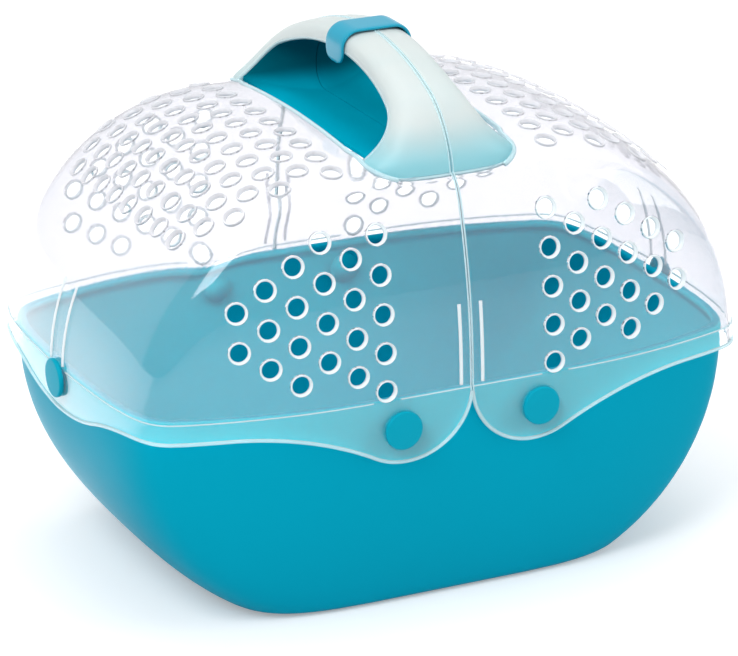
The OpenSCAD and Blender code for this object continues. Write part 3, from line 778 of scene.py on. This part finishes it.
def make_dome_half(side, points, triangles):
    """One clear dome half with its collars, ribs and edge beads."""
    word, body = half_of(side)
    shell = make_piece(f"{word}_clear_shell", mirrored(points, side),
                       triangles if side > 0 else triangles[:, ::-1], CLEAR, body)
    close_and_face_out(shell, drop_slivers=False)
    face_away_from(shell, mirrored(DOME_MIDDLE, side))
    thicken(shell, DOME_WALL)
    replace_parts(shell, f"{word}_dome")
    centres, normals = [], []
    for wall in (-1, 1):
        at = lambda x, z: wall_point(x, z, wall)
        centres.append(at(*WALL_HOLES.T))
        normals.append(surface_normal(at, *WALL_HOLES.T))
    roof_centres, roof_normals = roof_point(*ROOF_HOLES.T), surface_normal(roof_point, *ROOF_HOLES.T)
    for name, at, out, look in (("air_hole_collars", np.vstack(centres), np.vstack(normals), CLEAR_EDGE_HIGHLIGHT),
                                ("roof_hole_collars", roof_centres, roof_normals, CLEAR_ROOF_RING_HIGHLIGHT)):
        ring_points, ring_faces = ring_pieces(mirrored(at, side), mirrored(out, side), COLLAR, RING_STEPS)
        close_and_face_out(make_piece(f"{word}_{name}", ring_points, ring_faces, look, body))
    make_bar(side, "skirt_bead", skirt_border(), 1.0, around=10)
    for number, run in enumerate(fold_paths()):
        make_bar(side, f"fold_bead_{number}", run, 0.45)
    rib_z = np.linspace(FOLD_Z + 2, FOLD_Z + 45, 24)
    end_t = float(roof_t(8.0))
    for wall, place, look in ((-1, "front", CLEAR_EDGE_HIGHLIGHT), (1, "back", CLEAR_ROOF_RING_HIGHLIGHT)):
        make_bar(side, f"{place}_seam_bead", seam_path(wall) + [0.5, 0, 0], 0.45, up=(1, 0, 0))
        rib = wall_point(np.full(24, 6.2), rib_z, wall) + [0, wall * 0.1, 0]
        make_bar(side, f"{place}_seam_rib", rib, 1.0, look, around=10, flat=0.8, up=(0, 1, 0))
        rib = roof_point(roof_u(rib_z, end_t), np.full(24, wall * end_t)) + [0.1, 0, 0]
        make_bar(side, f"{place}_end_rib", rib, 1.0, CLEAR_EDGE_HIGHLIGHT, around=10, flat=0.8, up=(1, 0, 0))


def make_tunnel_half(side):
    """One half of the coloured tunnel liner, with its wall grown away from the hand."""
    word, body = half_of(side)
    skin = tunnel_skin()
    liner = make_piece(f"{word}_tunnel_liner", mirrored(skin.reshape(-1, 3), side),
                       grid_faces(*skin.shape[:2], False, True), TEAL_LINER, body)
    face_away_from(liner, (side * 20, 0, 258))
    liner.data.flip_normals()
    thicken(liner, 1.6)
    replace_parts(liner, f"{word}_handle_liner")


def make_handle_half(side):
    """One half of the frosted handle with the beads round its mouth, along its feet and at its seam."""
    word, body = half_of(side)
    skin = handle_skin()
    shell = make_piece(f"{word}_frosted_handle", mirrored(skin.reshape(-1, 3), side),
                       grid_faces(*skin.shape[:2]), FROSTED, body)
    face_away_from(shell, (side * 10, 0, 230))
    thicken(shell, 2.0)
    make_bar(side, "mouth_bead", skin[:, -1] - [0.9, 0, 0], 1.0, around=10, up=(1, 0, 0))
    for row, place in ((0, "front"), (-1, "back")):
        make_bar(side, f"{place}_foot_bead", skin[row], 1.1, around=10)
    make_bar(side, "handle_frame", roof_point(*foot_outline().T) - [0, 0, 0.6], 1.5, around=10)
    make_bar(side, "handle_seam_bead", skin[:, 0] + [0.5, 0, 0], 0.5, up=(1, 0, 0))


# ---------- latch, pins and buttons ----------
LATCH_X, LATCH_Z = 18.9, 273  # the latch's hinge


def make_latch():
    """The latch band: a rounded flat section carried over the grip, ending in a tongue on the left, and in a
    knuckle on the right."""
    r_edge, half, top, fit, thick = 8.0, 18.5, 286.5, 0.4, 2.0
    mid = fit + thick / 2
    turn = np.radians(np.linspace(180, 90, 12))
    corner = np.stack([-(half - r_edge) + (r_edge + mid) * np.cos(turn),
                       top - r_edge + (r_edge + mid) * np.sin(turn)], -1)
    left = np.stack([np.full(12, -half - mid), np.linspace(269.8, top - r_edge, 12)], -1)
    flat = np.stack([np.linspace(-(half - r_edge), half - r_edge, 12), np.full(12, top + mid)], -1)
    right = np.stack([np.full(8, half + mid), np.linspace(top - r_edge, LATCH_Z, 8)], -1)
    path = even_steps(np.vstack([left, corner[1:], flat[1:], (corner[::-1] * [-1, 1])[1:], right[1:]]), 90)
    length = np.concatenate([[0], np.cumsum(np.linalg.norm(np.diff(path, axis=0), axis=1))])
    half_w, tongue = 10.0, 6.5
    short = np.clip(tongue - length, 0, tongue)
    width = half_w - tongue + np.sqrt(np.clip(tongue ** 2 - short ** 2, 0, None))
    turn = np.linspace(0, 2 * np.pi, 40, endpoint=False)
    across = np.sign(np.cos(turn)) * np.abs(np.cos(turn)) ** 0.28
    level = np.sign(np.sin(turn)) * np.abs(np.sin(turn)) ** 0.55
    ahead = np.gradient(path, axis=0)
    ahead /= np.linalg.norm(ahead, axis=1, keepdims=True)
    out = np.stack([-ahead[:, 1], ahead[:, 0]], -1)
    swell = np.clip(length / 1.2, 0.35, 1) ** 0.5
    lift = level * thick / 2 * swell[:, None]
    points = np.stack([path[:, None, 0] + out[:, None, 0] * lift, width[:, None] * across[None],
                       path[:, None, 1] + out[:, None, 1] * lift], -1)
    latch = close_and_face_out(make_piece("latch_band", points.reshape(-1, 3), loop_faces(*points.shape[:2]),
                                          TEAL_LATCH, "latch"))
    lower = [(0, -13.0), (1.3, -13.0), (1.5, -12.8), (1.5, -10), (2.4, -10), (2.8, -9.6)]
    knuckle = lower + [(r, -h) for r, h in lower[::-1]]
    points, faces = button_points((LATCH_X, 0, LATCH_Z), (0, 1, 0), knuckle, 32)
    close_and_face_out(make_piece("latch_knuckle", points, faces, TEAL_LATCH, "latch"))
    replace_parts(latch, "handle_latch")


def make_heads():
    """Pins and end buttons: a turned head with a rounded rim and a barely crowned face, on a plain shank."""
    def head(shank):
        soft, flat_r = 0.9, 9.6
        rim = [(HEAD_R - soft + soft * math.sin(a), HEAD_T - soft + soft * math.cos(a))
               for a in np.radians(np.linspace(8, 90, 7))]
        crown = [(r, HEAD_T + 0.25 * (1 - (r / flat_r) ** 2)) for r in (0, 2.5, 5, 7, 8.6)]
        return crown + rim + [(HEAD_R, 0.15), (HEAD_R - 0.15, 0), (SHANK_R, 0), (SHANK_R, -shank),
                              (0, -shank)]
    head_y = float(half_width(DOME["cz"] - PIVOT_Z - HEAD_R, DOME, SKIRT_STEP)) + 0.3
    for x, left_right in ((-1, "left"), (1, "right")):
        for y, front_back in ((-1, "front"), (1, "back")):
            points, faces = button_points((x * PIVOT_X, y * head_y, PIVOT_Z), (0, y, 0), head(11.0))
            pin = make_piece(f"{front_back}_{left_right}_pin_head", points, faces, TEAL_PINS, "tub")
            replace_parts(close_and_face_out(pin), f"{front_back}_{left_right}_pivot_pin")
        points, faces = button_points((x * BUTTON_X, 0, BUTTON_Z), (x, 0, 0), head(4.2))
        button = make_piece(f"{left_right}_end_button_head", points, faces, TEAL_PINS, f"{left_right}_half")
        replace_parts(close_and_face_out(button), f"{left_right}_end_button")


# ---------- studio ----------
def make_camera():
    """The camera fitted to the photo."""
    data = bpy.data.cameras.new("camera")
    data.sensor_width, data.lens = 36, 194.6
    data.clip_start, data.clip_end = 0.1, 30
    camera = bpy.data.objects.new("camera", data)
    camera.location = (-0.8862, -1.8229, 0.8788)
    a, e = math.radians(-25.931), math.radians(20.618)
    back = Vector((math.sin(a) * math.cos(e), -math.cos(a) * math.cos(e), math.sin(e)))
    camera.rotation_mode = "QUATERNION"
    camera.rotation_quaternion = (-back).to_track_quat("-Z", "Y")
    bpy.context.scene.collection.objects.link(camera)
    bpy.context.scene.camera = camera


def area_light(name, place, target, size, power):
    """A square lamp of a given side that looks at target."""
    data = bpy.data.lights.new(name, "AREA")
    data.shape = "RECTANGLE"
    data.size = data.size_y = size
    data.energy = power
    lamp = bpy.data.objects.new(name, data)
    lamp.location = place
    lamp.rotation_mode = "QUATERNION"
    lamp.rotation_quaternion = (Vector(target) - Vector(place)).to_track_quat("-Z", "Y")
    bpy.context.scene.collection.objects.link(lamp)


def make_world():
    """White where the camera looks, dimmer as a light; gloss sees a dark front and a white screen behind."""
    world = bpy.data.worlds.new("studio")
    bpy.context.scene.world = world
    world.use_nodes = True
    tree = world.node_tree
    ray = add(tree, "LightPath").outputs
    seen = calc(tree, "MAXIMUM", ray["Is Camera Ray"], ray["Is Glossy Ray"])
    seen = calc(tree, "MULTIPLY_ADD", ray["Is Transmission Ray"], 0.3, seen, clamp=True)
    screen = ramp(tree, dot(tree, coordinate(tree, "Generated"), (0.25, 1.0, 0.2)), 0.22, 0.30)
    in_gloss = mixed(tree, screen, (0.14, 0.14, 0.15), (0.85, 0.85, 0.88))
    feed(tree, tree.nodes["Background"], {
        "Color": mixed(tree, ray["Is Glossy Ray"], (1, 1, 1), in_gloss),
        "Strength": ramp(tree, seen, 0.0, 1.0, 0.62, 1.0, "LINEAR")})


def make_floor():
    """A white floor that glows a little for the camera, and behind the object for gloss."""
    side = 6.0
    mesh = bpy.data.meshes.new("floor")
    mesh.from_pydata([(-side, -side, 0), (side, -side, 0), (side, side, 0), (-side, side, 0)], [],
                     [[0, 1, 2, 3]])
    material = bpy.data.materials.new("white_floor")
    material.use_nodes = True
    tree = material.node_tree
    ray = add(tree, "LightPath").outputs
    seen = calc(tree, "MULTIPLY_ADD", ray["Is Transmission Ray"], 0.1, ray["Is Camera Ray"])
    behind = ramp(tree, along_axis(tree, coordinate(tree), "Y"), 0.0, 0.1, 0.0, 1.1, "LINEAR")
    glow = calc(tree, "MULTIPLY_ADD", ray["Is Glossy Ray"], behind, calc(tree, "MULTIPLY", seen, 0.30))
    feed(tree, tree.nodes["Principled BSDF"], {
        "Base Color": (0.82, 0.82, 0.83, 1), "Roughness": 0.7, "Specular IOR Level": 0.2,
        "Emission Color": (1, 1, 1, 1), "Emission Strength": glow})
    mesh.materials.append(material)
    floor = bpy.data.objects.new("floor", mesh)
    bpy.context.scene.collection.objects.link(floor)


def make_studio():
    """World, floor and the three lamps that light the object softly."""
    bpy.context.scene.view_settings.view_transform = "Standard"
    make_world()
    make_floor()
    area_light("key_left", (-1.4, -1.0, 1.9), (0, 0, 0.12), 1.2, 28.5)
    area_light("top_soft", (0.2, 0.2, 2.2), (0, 0, 0.1), 1.6, 14)
    area_light("fill_right", (1.8, -1.2, 0.9), (0, 0, 0.12), 1.0, 9)


make_camera()
make_studio()
make_tub()
dome_points, dome_triangles = make_dome_mesh()
for half_side in (-1, 1):
    make_dome_half(half_side, dome_points, dome_triangles)
    make_handle_half(half_side)
    make_tunnel_half(half_side)
make_latch()
make_heads()
